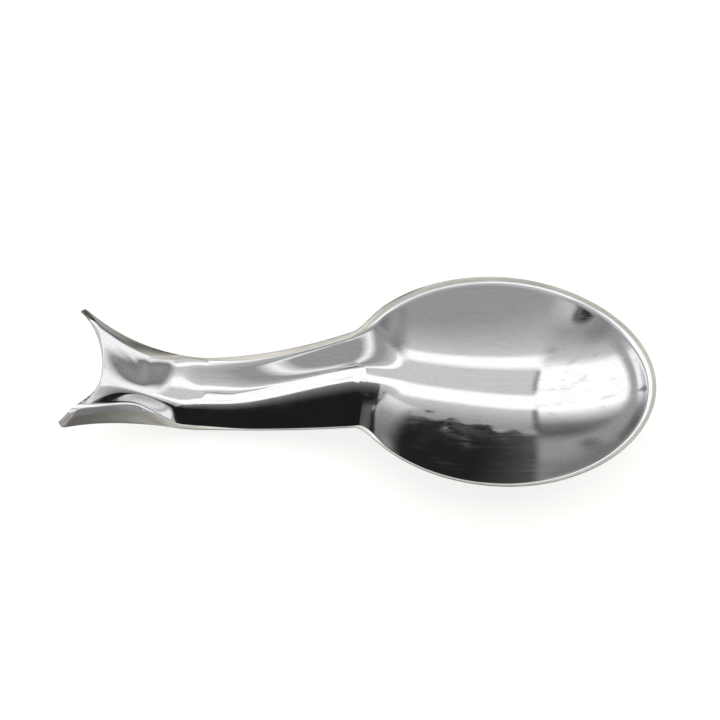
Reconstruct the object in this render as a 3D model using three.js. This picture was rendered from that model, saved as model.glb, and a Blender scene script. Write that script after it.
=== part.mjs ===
// A spoon rest pressed from one sheet of stainless steel, in millimetres, +Z up.
// It stands on z = 0 with its length along X: the bowl at +X, the forked tail at -X.
// The sheet is written as four zones that meet face to face on cuts square to its length.

import * as THREE from 'three';
import { mergeVertices } from 'three/addons/utils/BufferGeometryUtils.js';

// Sheet
const sheet = 0.7;

// Bowl, an oval in plan with a flat rim round it
const bowlLength = 126;
const bowlWidth = 99.4;
const bowlDepth = 20.3;
const bowlRim = 1.7;
const tipRim = 2.2;
const tipTaper = 0.035;
const deepestFromMiddle = 0.6;
const bowlFlat = 4;

// The bowl's lowest line lies towards +Y of its middle, most of all near the neck
const bowlLean = 7;
const bowlLeanFromWaist = 79;
const bowlLeanSpread = 60;

// Handle, a trough that is narrowest at its waist and lies on the table there
const waistFromBowl = 121;
const waistWidth = 34.6;
const waistRimHeight = 6.3;
const handleRim = 1.7;
const bellyLength = 12;
const bellyFromWaist = 4.9;
const troughFlat = 1.3;

// The trough's lowest line leans towards +Y on its way to the bowl, and a little towards -Y in the tail
const troughLean = 11;
const troughLeanFromWaist = 61;
const troughLeanSpread = 42;
const tailLean = 2.2;
const tailLeanFromWaist = 12;

// Neck, where the trough runs over a ridge into the bowl
const neckFromWaist = 69;
const neckWidth = 47.4;
const neckBefore = 16;
const neckAfter = 20;
const ridgeFromWaist = 77;
const ridgeHeight = 12;

// The trimming cut lies off the middle of the hollow from the waist on, by a share of the bowl's rim
const trimShare = 0.87;
const trimBefore = 8;
const trimAfter = 22;
const trimSpread = 70;

// Tail, which sweeps up and forks into two horns with rolled-down lips
const tailFromWaist = 50.2;
const tailWidth = 56;
const tailHeight = 28;
const notchFromWaist = 38.3;
const notchHeight = 22.5;
const forkFromWaist = 23;
const hornRadius = 1.8;
const lipWidth = 7.5;
const lipDrop = 4.4;
const farLipDrop = 2;
const lipFromWaist = 7;
const lipFullFromWaist = 27;
const hornDrop = 1.8;

// Rounding of the creases along the rim, over the neck ridge and at the outline's inner corners
const rimCrease = 1.5;
const nearRimCrease = 0.15;
const ridgeCrease = 3;
const nearRidgeCrease = 4;
const farRidgeCrease = 11;
const cornerCrease = 5;

// Shape of the pressed hollows: how wide their rounded bottoms are, as a share of the half width
const bowlRoundShare = 0.6;
const troughRoundShare = 0.42;

// Shape of the runs out from the waist: each grows as this power of the way along it
const neckFlarePower = 1.6;
const tailFlarePower = 2.9;
const neckRisePower = 2;
const tailRisePower = 1.56;
const ridgeRisePower = 1.9;
const notchRisePower = 1.7;
const forkPower = 2.2;
const lipPower = 1.4;

// Places along the part, with the middle of its length at x = 0
const tipX = (bowlLength / 2 + waistFromBowl + tailFromWaist) / 2;
const bowlX = tipX - bowlLength / 2;
const waistX = bowlX - waistFromBowl;
const neckX = waistX + neckFromWaist;
const forkX = waistX - forkFromWaist;
const notchX = waistX - notchFromWaist;
const hornX = waistX - tailFromWaist;
const bellyStart = waistX + bellyFromWaist - bellyLength / 2;
const bellyEnd = bellyStart + bellyLength;
const deepestX = bowlX - deepestFromMiddle;
const rimHeight = sheet + bowlDepth;

const { lerp: mix, smoothstep: smoothStep } = THREE.MathUtils;

// The lower of two heights, with the crease between them rounded
function softMin(a, b, round) {
  const near = Math.max(round - Math.abs(a - b), 0) / round;
  return Math.min(a, b) - near * near * round / 4;
}

// The larger of two widths, with the corner between them rounded
function softMax(a, b, round) {
  return -softMin(-a, -b, round);
}

// A share of the way out from a hollow's lowest line, counted from the edge of its flat
const pastFlat = (share, flat) => Math.max(0, Math.abs(share) - flat) / (1 - flat);

// Height across the trough: 0 at its lowest line, 1 at its edge, with straight walls and a rounded bottom
function troughRise(share) {
  const round = troughRoundShare;
  return (Math.hypot(share, round) - round) / (Math.hypot(1, round) - round);
}

// How far a section lies past the waist, as a share of a reach
const ahead = (x, reach) => Math.max(0, x - waistX) / reach;
const behind = (x, reach) => Math.max(0, waistX - x) / reach;

// Half width of the handle's outline, as if the bowl were not there
function handleHalfWidth(x) {
  const flareReach = tailFromWaist - hornRadius;
  const toNeck = (neckWidth - waistWidth) / 2 * ahead(x, neckFromWaist) ** neckFlarePower;
  const toTail = (tailWidth - waistWidth) / 2 * behind(x, flareReach) ** tailFlarePower;
  return waistWidth / 2 + toNeck + toTail;
}

// Width of the bowl's oval as a share of a true oval, at a share of the way to its tip
const taper = (along) => 1 - tipTaper * Math.max(0, along) ** 2;

// Half width of the bowl's oval short of its middle, drawn in by a rim
function bowlHalfWidth(x, rim) {
  const share = (x - bowlX) / (bowlLength / 2 - rim);
  return (bowlWidth / 2 - rim) * Math.sqrt(Math.max(0, 1 - share ** 2));
}

// Half width of the trimmed outline, with the horn tips rounded off
function outlineHalfWidth(x) {
  const shoulder = hornX + hornRadius;
  const past = THREE.MathUtils.clamp(shoulder - x, 0, hornRadius);
  const rounded = hornRadius - Math.sqrt(hornRadius ** 2 - past ** 2);
  return softMax(handleHalfWidth(Math.max(x, shoulder)), bowlHalfWidth(x, 0), cornerCrease) - rounded;
}

// Height of the handle's trimmed edge, as if the bowl were not there
function handleEdgeHeight(x) {
  const toBowl = (rimHeight - waistRimHeight) * ahead(x, neckFromWaist) ** neckRisePower;
  const toTail = (tailHeight - waistRimHeight) * behind(x, tailFromWaist) ** tailRisePower;
  return waistRimHeight + toBowl + toTail;
}

// Height of the whole trimmed edge, level round the bowl
function edgeHeight(x) {
  const height = handleEdgeHeight(x);
  return x < waistX ? height : softMin(height, rimHeight, ridgeCrease);
}

// Height of the trough's floor: flat under the waist, rising to the ridge and to the notch
function floorHeight(x) {
  const toRidge = Math.max(0, x - bellyEnd) / (waistX + ridgeFromWaist - bellyEnd);
  const toNotch = Math.max(0, bellyStart - x) / (bellyStart - notchX);
  const ridge = ridgeHeight * toRidge ** ridgeRisePower;
  return sheet + ridge + (notchHeight - sheet) * toNotch ** notchRisePower;
}

// Middle of the hollow across the part
function hollowMiddle(x) {
  const grown = smoothStep(x, waistX - trimBefore, waistX + trimAfter);
  const past = Math.max(0, x - neckX) / trimSpread;
  return -trimShare * bowlRim * grown * Math.exp(-(past ** 2));
}

// How far the bowl's and the trough's lowest lines lie off the middle of the hollow
const bowlShift = (x) => bowlLean * Math.exp(-(((x - waistX - bowlLeanFromWaist) / bowlLeanSpread) ** 2));

function troughShift(x) {
  const lean = troughLean * Math.exp(-(((x - waistX - troughLeanFromWaist) / troughLeanSpread) ** 2));
  return lean - tailLean * smoothStep(waistX - x, 0, tailLeanFromWaist);
}

// Place of the lowest line across the part, from the trough over the neck into the bowl
function lowestLine(x) {
  const along = (x - bowlX) / (bowlLength / 2 - bowlRim);
  const inBowl = bowlShift(x) * Math.max(0, 1 - along ** 2);
  const passed = smoothStep(x, neckX - neckBefore, neckX + neckAfter);
  return hollowMiddle(x) + mix(troughShift(x), inBowl, passed);
}

// How far the tail's lips have grown at a section, from 0 behind the waist to 1 past the fork
const lipGrowth = (x) => smoothStep(waistX - x, lipFromWaist, lipFullFromWaist);

// How far the lips have flattened out again at a section, from 0 at the fork to 1 at the notch
const lipFade = (x) => smoothStep(forkX - x, 0, forkX - notchX);

// Sections are square to the length as far as the fork, and from there bend back into the horns
function sectionX(section, share) {
  if (section >= forkX) return section;
  const edge = mix(forkX, hornX, (forkX - section) / (forkX - notchX));
  return mix(section, edge, share ** forkPower);
}

// Height of the bowl's hollow: one curve along it and another across it, added up, so that the rim is level
function bowlHeight(x, y) {
  const half = bowlLength / 2 - (x > bowlX ? tipRim : bowlRim);
  const halfWidth = bowlWidth / 2 - bowlRim;
  const along = (x - bowlX) / half;
  const across = (y - hollowMiddle(x)) / halfWidth / taper(along);
  const inside = Math.max(0, 1 - along ** 2 - across ** 2);
  const leaning = pastFlat(along + inside * deepestFromMiddle / half, bowlFlat / half);
  const skewed = pastFlat(across - inside * bowlShift(x) / halfWidth, bowlFlat / halfWidth);
  const full = Math.hypot(1, bowlRoundShare);
  const riseAcross = Math.hypot(skewed, bowlRoundShare) - bowlRoundShare;
  const riseAlong = full - Math.sqrt(Math.max(0.05, full ** 2 - leaning ** 2));
  return sheet + bowlDepth * (riseAcross + riseAlong) / (full - bowlRoundShare);
}

// Rows of points on each section: shares of the rim from its edge in, then shares of the hollow,
// with one row inside its flat
const rimRows = [1, 0.5, 0.1];
const flatRow = 0.055;
const hollowRows = [0.97, 0.93, 0.87, 0.78, 0.66, 0.52, 0.38, 0.25, 0.14, flatRow, 0];

// One half of a section of the tail, handle, neck or bowl, from its edge to its middle
function sectionPoints(section, side) {
  const edgeX = sectionX(section, 1);
  const grown = lipGrowth(section);
  const rim = mix(handleRim, lipWidth, grown);
  const nearDrop = mix(lipDrop * grown, hornDrop, lipFade(section));
  const farDrop = mix(farLipDrop * grown, hornDrop, lipFade(section));
  const drop = side > 0 ? farDrop : nearDrop;
  const half = outlineHalfWidth(edgeX);
  const troughHalf = handleHalfWidth(Math.max(edgeX, hornX + hornRadius)) - rim;
  const hollowHalf = softMax(troughHalf, bowlHalfWidth(section, bowlRim), ridgeCrease);
  const middle = hollowMiddle(section);
  const lowest = lowestLine(section);
  const shift = troughShift(section);
  const floor = floorHeight(section);
  const edgeTop = handleEdgeHeight(edgeX);
  const crease = side > 0 ? rimCrease : mix(nearRimCrease, rimCrease, grown);
  const point = (y, rimShare) => {
    const x = sectionX(section, Math.min(1, Math.abs(y) / half));
    const off = y - middle - shift;
    const wall = off > 0 ? troughHalf - shift : troughHalf + shift;
    const troughTop = edgeTop + (off > 0 ? farDrop : nearDrop);
    const trough = floor + (troughTop - floor) * troughRise(pastFlat(off / wall, troughFlat / wall));
    const lip = edgeHeight(edgeX) + drop * (1 - rimShare ** lipPower);
    const toFarSide = smoothStep(y, -0.25 * neckWidth, 0.15 * neckWidth);
    const pressed = softMin(trough, bowlHeight(x, y), mix(nearRidgeCrease, farRidgeCrease, toFarSide));
    return new THREE.Vector3(x, y, softMin(pressed, lip, crease));
  };
  const inner = middle + side * hollowHalf;
  const rimPoints = rimRows.map((share) => point(mix(inner, side * half, share), share));
  const hollowPoints = hollowRows.map((share) => point(mix(lowest, inner, share), 0));
  return [...rimPoints, ...hollowPoints];
}

// One ray of the bowl past its deepest point, from its edge to that point
function rayPoints(angle) {
  const middle = new THREE.Vector2(deepestX, lowestLine(deepestX));
  const endRim = Math.cos(angle) > 0 ? tipRim : bowlRim;
  const inner = new THREE.Vector2(
    bowlX + (bowlLength / 2 - endRim) * Math.cos(angle),
    hollowMiddle(deepestX) + (bowlWidth / 2 - bowlRim) * Math.sin(angle) * taper(Math.cos(angle)),
  );
  const edge = new THREE.Vector2(
    bowlX + bowlLength / 2 * Math.cos(angle),
    bowlWidth / 2 * Math.sin(angle) * taper(Math.cos(angle)),
  );
  const crease = mix(nearRimCrease, rimCrease, smoothStep(Math.sin(angle), -0.8, 0.2));
  const point = (place) => {
    const height = softMin(bowlHeight(place.x, place.y), rimHeight, crease);
    return new THREE.Vector3(place.x, place.y, height);
  };
  const rimPoints = rimRows.map((share) => point(inner.clone().lerp(edge, share)));
  const hollowPoints = hollowRows.map((share) => point(middle.clone().lerp(inner, share)));
  return [...rimPoints, ...hollowPoints];
}

// Evenly graded places between two ends, without the last; a power above 1 crowds them at the start
function places(from, to, count, power = 1) {
  return Array.from({ length: count }, (_, i) => mix(from, to, (i / count) ** power));
}

// Steps between sections in each zone
const tailSteps = 9;
const tailCrowding = 1.5;
const waistSteps = 3;
const bellySteps = 2;
const handleSteps = 7;
const neckSteps = 18;
const bowlSteps = 5;
const raySteps = 28;

// Sections of each zone, from the notch to the middle of the bowl
const neckStart = neckX - neckBefore;
const neckEnd = neckX + neckAfter;
const flatStart = mix(deepestX, bowlX - bowlLength / 2, flatRow);
const tailSections = places(notchX, forkX, tailSteps, tailCrowding);
const handleSections = [
  ...places(forkX, bellyStart, waistSteps),
  ...places(bellyStart, bellyEnd, bellySteps),
  ...places(bellyEnd, neckStart, handleSteps),
];
const neckSections = places(neckStart, neckEnd, neckSteps);
const bowlSections = [...places(neckEnd, flatStart, bowlSteps), flatStart, deepestX];
const sections = [...tailSections, ...handleSections, ...neckSections, ...bowlSections];
const rayStart = Math.acos(-deepestFromMiddle / (bowlLength / 2));
const rays = places(rayStart, -rayStart, raySteps).slice(1);

// Columns of points run along the +Y edge, round the bowl's tip and back along the -Y edge
const columns = [
  ...sections.map((section) => sectionPoints(section, 1)),
  ...rays.map(rayPoints),
  ...sections.map((section) => sectionPoints(section, -1)).reverse(),
];
const lastSection = sections.length - 1;
const lastColumn = columns.length - 1;
const lastRow = rimRows.length + hollowRows.length - 1;

// Both halves of a section share its middle point, and all rays share the bowl's middle
const middleOf = (column) => Math.min(column, lastSection, lastColumn - column);
const vertexOf = (column, row) => (row < lastRow
  ? column * lastRow + row
  : columns.length * lastRow + middleOf(column));

// Upper face of the sheet
const upper = [];
columns.forEach((points, column) => {
  points.forEach((point, row) => {
    upper[vertexOf(column, row)] = point;
  });
});

// Triangles of the upper face between one column and the next, facing up
function stripTriangles(column) {
  const triangles = [];
  for (let row = 0; row < lastRow; row += 1) {
    const a = vertexOf(column, row);
    const b = vertexOf(column, row + 1);
    const c = vertexOf(column + 1, row + 1);
    const d = vertexOf(column + 1, row);
    triangles.push([a, b, d]);
    if (b !== c) triangles.push([b, c, d]);
  }
  return triangles;
}

const strips = Array.from({ length: lastColumn }, (_, column) => stripTriangles(column));

// Square directions to the upper face, averaged at each point
function upperNormals() {
  const geometry = new THREE.BufferGeometry().setFromPoints(upper);
  geometry.setIndex(strips.flat(2));
  geometry.computeVertexNormals();
  const normals = geometry.getAttribute('normal');
  return upper.map((_, i) => new THREE.Vector3().fromBufferAttribute(normals, i));
}

// Lower face: one sheet thickness under the upper face. On a cut between zones it stays in the cut's
// plane, and under the flats it stays level.
const cuts = [forkX, neckStart, neckEnd];
const lower = upperNormals().map((normal, i) => {
  const point = upper[i];
  const level = point.z <= sheet;
  const square = level ? new THREE.Vector3(0, 0, 1) : normal.clone();
  if (cuts.includes(point.x)) square.x = 0;
  return point.clone().addScaledVector(square, -sheet / square.dot(level ? square : normal));
});

// Closes a patch of the sheet into a solid: its upper and lower faces and the walls round its border
function sheetSolid(triangles) {
  const corners = [];
  const face = (...points) => corners.push(...points);
  const border = new Map();
  for (const [a, b, c] of triangles) {
    face(upper[a], upper[b], upper[c]);
    face(lower[a], lower[c], lower[b]);
    for (const [from, to] of [[a, b], [b, c], [c, a]]) {
      if (!border.delete(`${to} ${from}`)) border.set(`${from} ${to}`, [from, to]);
    }
  }
  for (const [from, to] of border.values()) {
    if (from < to) {
      face(upper[from], lower[from], lower[to]);
      face(upper[from], lower[to], upper[to]);
    } else {
      face(upper[from], lower[from], upper[to]);
      face(lower[from], lower[to], upper[to]);
    }
  }
  return mergeVertices(new THREE.BufferGeometry().setFromPoints(corners));
}

// The strips of a zone lie between two sections, along both edges
function zoneTriangles(firstSection, endSection) {
  const inZone = (column) => {
    const section = Math.min(column, lastColumn - 1 - column);
    return section >= firstSection && section < endSection;
  };
  return strips.filter((_, column) => inZone(column)).flat();
}

const steel = { color: 0xc6c8c8, roughness: 0.12, metalness: 1 };
const zoneStarts = {
  tail: 0,
  handle: tailSections.length,
  neck: tailSections.length + handleSections.length,
  bowl: tailSections.length + handleSections.length + neckSections.length,
};

// Each zone is one named mesh
const spoonRest = new THREE.Group();
Object.entries(zoneStarts).forEach(([name, start], i, zones) => {
  const end = i + 1 < zones.length ? zones[i + 1][1] : columns.length;
  const mesh = new THREE.Mesh(
    sheetSolid(zoneTriangles(start, end)),
    new THREE.MeshStandardMaterial(steel),
  );
  mesh.name = name;
  spoonRest.add(mesh);
});

export default spoonRest;
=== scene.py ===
"""Dresses the spoon rest: one pressed sheet of stainless steel, polished, with a satin rim."""

import logging
import math
from dataclasses import dataclass, field
from enum import Enum

import bpy
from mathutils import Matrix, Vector


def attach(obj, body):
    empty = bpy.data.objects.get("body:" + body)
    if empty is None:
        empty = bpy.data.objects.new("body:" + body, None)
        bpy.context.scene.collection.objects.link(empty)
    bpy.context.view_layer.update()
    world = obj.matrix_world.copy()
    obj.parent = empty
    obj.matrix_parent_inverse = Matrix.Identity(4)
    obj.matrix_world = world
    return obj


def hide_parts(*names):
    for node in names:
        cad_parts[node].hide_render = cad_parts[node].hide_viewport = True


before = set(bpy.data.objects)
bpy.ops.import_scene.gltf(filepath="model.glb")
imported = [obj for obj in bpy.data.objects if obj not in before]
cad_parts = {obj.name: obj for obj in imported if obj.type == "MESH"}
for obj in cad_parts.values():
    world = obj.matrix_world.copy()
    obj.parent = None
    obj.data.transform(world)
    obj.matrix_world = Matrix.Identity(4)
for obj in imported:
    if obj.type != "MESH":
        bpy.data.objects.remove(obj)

LOG = logging.getLogger("spoon_rest")
MM = 0.001
Span = tuple[float, float]
Tree = bpy.types.NodeTree
Socket = bpy.types.NodeSocket


class Zone(Enum):
    """Which finish a strip of the sheet carries, as the index of its material."""

    POLISHED = 0
    SATIN = 1
    CUT = 2


class Tone(Enum):
    """The few plain tones that the studio's cloths, cards and walls are made in, as sRGB greys."""

    WHITE = 255
    BRIGHT = 240
    PALE = 195
    GREY = 145
    DIM = 115
    SHADE = 75
    DARK = 30


Stops = tuple[tuple[float, Tone], ...]


def linear(hex_colour: str) -> tuple[float, float, float, float]:
    """Turns an sRGB hex colour into linear light.

    Args:
        hex_colour: Six hex digits after a hash sign.

    Returns:
        Linear red, green, blue and an alpha of 1.
    """
    digits = hex_colour.lstrip("#")
    shares = [int(digits[i:i + 2], 16) / 255 for i in (0, 2, 4)]
    light = [s / 12.92 if s <= 0.04045 else ((s + 0.055) / 1.055) ** 2.4 for s in shares]
    return (light[0], light[1], light[2], 1.0)


def grey(tone: Tone) -> tuple[float, float, float, float]:
    """Gives the linear light of one of the studio's tones."""
    return linear(f"#{tone.value:02x}" + f"{tone.value:02x}" * 2)


def add_node(
    tree: bpy.types.NodeTree,
    kind: str,
    inputs: dict | None = None,
    **settings: object,
) -> bpy.types.Node:
    """Adds one node with its settings, values and links.

    Args:
        tree: The node tree that takes the node.
        kind: Blender's name for the node type.
        inputs: Socket name or number to a value, or to the output socket it is linked from.
        **settings: The node's own properties.

    Returns:
        The new node.
    """
    node = tree.nodes.new(kind)
    for name, value in settings.items():
        setattr(node, name, value)
    for key, value in (inputs or {}).items():
        if isinstance(value, bpy.types.NodeSocket):
            tree.links.new(value, node.inputs[key])
        else:
            node.inputs[key].default_value = value
    return node


def set_ramp(node: bpy.types.Node, stops: list[tuple[float, tuple]]) -> None:
    """Writes a colour ramp's stops.

    Args:
        node: The ramp node.
        stops: Pairs of place from 0 to 1 and linear colour, in rising order.
    """
    elements = node.color_ramp.elements
    while len(elements) > 1:
        elements.remove(elements[-1])
    elements[0].position, elements[0].color = stops[0]
    for place, colour in stops[1:]:
        elements.new(place).color = colour


def new_material(name: str) -> tuple[bpy.types.Material, bpy.types.Node]:
    """Starts a node material.

    Args:
        name: The finish's name.

    Returns:
        The material and its Principled node.
    """
    material = bpy.data.materials.new(name)
    material.use_nodes = True
    return material, material.node_tree.nodes["Principled BSDF"]


def limits(given: Span, result: Span = (0.0, 1.0)) -> dict[str, float]:
    """Gives the limits between which one value is turned into another.

    Args:
        given: The start and end of the value that is read.
        result: What these two become.

    Returns:
        The four limits by the names of their sockets.
    """
    return {"From Min": given[0], "From Max": given[1], "To Min": result[0], "To Max": result[1]}


def plain(share: float) -> tuple[float, float, float, float]:
    """Gives a share as a ramp's colour."""
    return (share, share, share, 1.0)


@dataclass(frozen=True)
class PolishedSteel:
    """Stainless steel sheet, buffed to a mirror after pressing.

    It mirrors the studio almost sharply. The buffing wheel leaves long faint streaks, which soften a
    reflection's edge, and hair marks, which dull the tone a little. Real hair marks are finer than a render
    shows, so they are drawn as coarse as they need to show.
    """

    colour: str = "#e8e9ea"
    dull: str = "#dfe0e1"
    hair_mm: float = 0.5
    hair_length_mm: float = 16.0
    streak_mm: float = 1.4
    streak_length_mm: float = 30.0
    smear_mm: float = 14.0
    smooth: float = 0.045
    worn: float = 0.13
    streak_height_mm: float = 0.005
    hairs_show: Span = (0.34, 0.58)
    wear_shows: Span = (0.2, 0.45)

    def material(self) -> bpy.types.Material:
        """Builds the polished finish and returns its material."""
        material, shader = new_material("polished_stainless_steel")
        tree = material.node_tree
        shader.inputs["Metallic"].default_value = 1.0
        place = add_node(tree, "ShaderNodeTexCoord").outputs["Object"]
        drawn = add_node(tree, "ShaderNodeMapping", {
            "Vector": place,
            "Scale": (1 / (self.hair_length_mm * MM), 1 / (self.hair_mm * MM), 1 / (self.hair_mm * MM)),
        }).outputs["Vector"]
        hairs = add_node(tree, "ShaderNodeTexNoise", {
            "Vector": drawn, "Scale": 1.0, "Detail": 2.0,
        }).outputs["Fac"]
        tone = add_node(tree, "ShaderNodeValToRGB", {"Fac": hairs})
        dull_at, bright_at = self.hairs_show
        set_ramp(tone, [(dull_at, linear(self.dull)), (bright_at, linear(self.colour))])
        tree.links.new(tone.outputs["Color"], shader.inputs["Base Color"])
        along = add_node(tree, "ShaderNodeMapping", {
            "Vector": place,
            "Scale": (1 / (self.streak_length_mm * MM), 1 / (self.streak_mm * MM), 1 / (self.streak_mm * MM)),
        }).outputs["Vector"]
        streaks = add_node(tree, "ShaderNodeTexNoise", {
            "Vector": along, "Scale": 1.0, "Detail": 3.0, "Roughness": 0.6,
        }).outputs["Fac"]
        smears = add_node(tree, "ShaderNodeTexNoise", {
            "Vector": place, "Scale": 1 / (self.smear_mm * MM), "Detail": 2.0,
        }).outputs["Fac"]
        both = add_node(tree, "ShaderNodeMath", {0: streaks, 1: smears}, operation="MULTIPLY").outputs[0]
        rough = add_node(tree, "ShaderNodeMapRange", {
            "Value": both, **limits(self.wear_shows, (self.smooth, self.worn)),
        }).outputs["Result"]
        tree.links.new(rough, shader.inputs["Roughness"])
        bump = add_node(tree, "ShaderNodeBump", {
            "Height": streaks, "Strength": 1.0, "Distance": self.streak_height_mm * MM,
        }).outputs["Normal"]
        tree.links.new(bump, shader.inputs["Normal"])
        return material


@dataclass(frozen=True)
class SatinRim:
    """The flat rim that the press holds while it draws the sheet.

    The tool rubs it dull, so it is an even grey with fine marks across it and no clear reflection. Its warm
    tint is a painted reflection of the warm table.
    """

    # Painted reflection: both tones are tinted warm to stand in for the table that the rim reflects. The
    # change between them is the rubbed steel's own.
    light: str = "#d3d0c8"
    dark: str = "#b5b2aa"
    mark_mm: float = 0.5
    mark_length_mm: float = 5.0
    cloud_mm: float = 25.0
    rough: float = 0.34
    mark_height_mm: float = 0.004
    mark_strength: float = 0.6
    mark_share: float = 0.45
    mark_turn: float = 40.0
    tone_shows: Span = (0.32, 0.62)

    def material(self) -> bpy.types.Material:
        """Builds the satin finish and returns its material."""
        material, shader = new_material("satin_stainless_rim")
        tree = material.node_tree
        shader.inputs["Metallic"].default_value = 1.0
        shader.inputs["Roughness"].default_value = self.rough
        place = add_node(tree, "ShaderNodeTexCoord").outputs["Object"]
        across = add_node(tree, "ShaderNodeMapping", {
            "Vector": place,
            "Rotation": (0.0, 0.0, math.radians(self.mark_turn)),
            "Scale": (
                1 / (self.mark_length_mm * MM), 1 / (self.mark_mm * MM), 1 / (self.mark_length_mm * MM),
            ),
        }).outputs["Vector"]
        marks = add_node(tree, "ShaderNodeTexNoise", {
            "Vector": across, "Scale": 1.0, "Detail": 2.0,
        }).outputs["Fac"]
        clouds = add_node(tree, "ShaderNodeTexNoise", {
            "Vector": place, "Scale": 1 / (self.cloud_mm * MM), "Detail": 1.0,
        }).outputs["Fac"]
        tone = add_node(tree, "ShaderNodeMix", {0: self.mark_share, 2: clouds, 3: marks}).outputs[0]
        # The random change between the two tones is the steel's own. The warm tint of both is painted
        # reflection.
        ramp = add_node(tree, "ShaderNodeValToRGB", {"Fac": tone})
        dark_at, light_at = self.tone_shows
        set_ramp(ramp, [(dark_at, linear(self.dark)), (light_at, linear(self.light))])
        tree.links.new(ramp.outputs["Color"], shader.inputs["Base Color"])
        bump = add_node(tree, "ShaderNodeBump", {
            "Height": marks, "Strength": self.mark_strength, "Distance": self.mark_height_mm * MM,
        }).outputs["Normal"]
        tree.links.new(bump, shader.inputs["Normal"])
        return material


@dataclass(frozen=True)
class CutEdge:
    """The sheared edge of the sheet, half burnished and half torn. Its colour is darkened as painted shade,
    so it shows as a thin dark line.
    """

    # Painted shade: the edge's colour is darkened to stand in for the shade on the thin edge. Its grain and
    # roughness are the torn steel's own.
    colour: str = "#63615c"
    grain_mm: float = 0.4
    smooth: float = 0.28
    torn: float = 0.55
    grain_shows: Span = (0.3, 0.7)

    def material(self) -> bpy.types.Material:
        """Builds the cut edge's finish and returns its material."""
        material, shader = new_material("sheared_edge_with_painted_shade")
        tree = material.node_tree
        # Painted shade: the dark base colour, not the steel's own, makes the edge's dark line.
        shader.inputs["Base Color"].default_value = linear(self.colour)
        shader.inputs["Metallic"].default_value = 1.0
        place = add_node(tree, "ShaderNodeTexCoord").outputs["Object"]
        grain = add_node(tree, "ShaderNodeTexNoise", {
            "Vector": place, "Scale": 1 / (self.grain_mm * MM), "Detail": 2.0,
        }).outputs["Fac"]
        rough = add_node(tree, "ShaderNodeMapRange", {
            "Value": grain, **limits(self.grain_shows, (self.smooth, self.torn)),
        }).outputs["Result"]
        tree.links.new(rough, shader.inputs["Roughness"])
        return material


def mix(a: float, b: float, share: float) -> float:
    """Gives the value a share of the way from a to b."""
    return a + (b - a) * share


def clamp(value: float, low: float, high: float) -> float:
    """Keeps a value between two limits."""
    return min(max(value, low), high)


def smooth_step(value: float, start: float, end: float) -> float:
    """Rises smoothly from 0 at start to 1 at end."""
    t = clamp((value - start) / (end - start), 0.0, 1.0)
    return t * t * (3 - 2 * t)


def soft_min(a: float, b: float, width: float) -> float:
    """Gives the lower of two heights, with the crease between them rounded over a width."""
    near = max(width - abs(a - b), 0.0) / width
    return min(a, b) - near * near * width / 4


def soft_max(a: float, b: float, width: float) -> float:
    """Gives the larger of two widths, with the corner between them rounded over a width."""
    return -soft_min(-a, -b, width)


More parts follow.
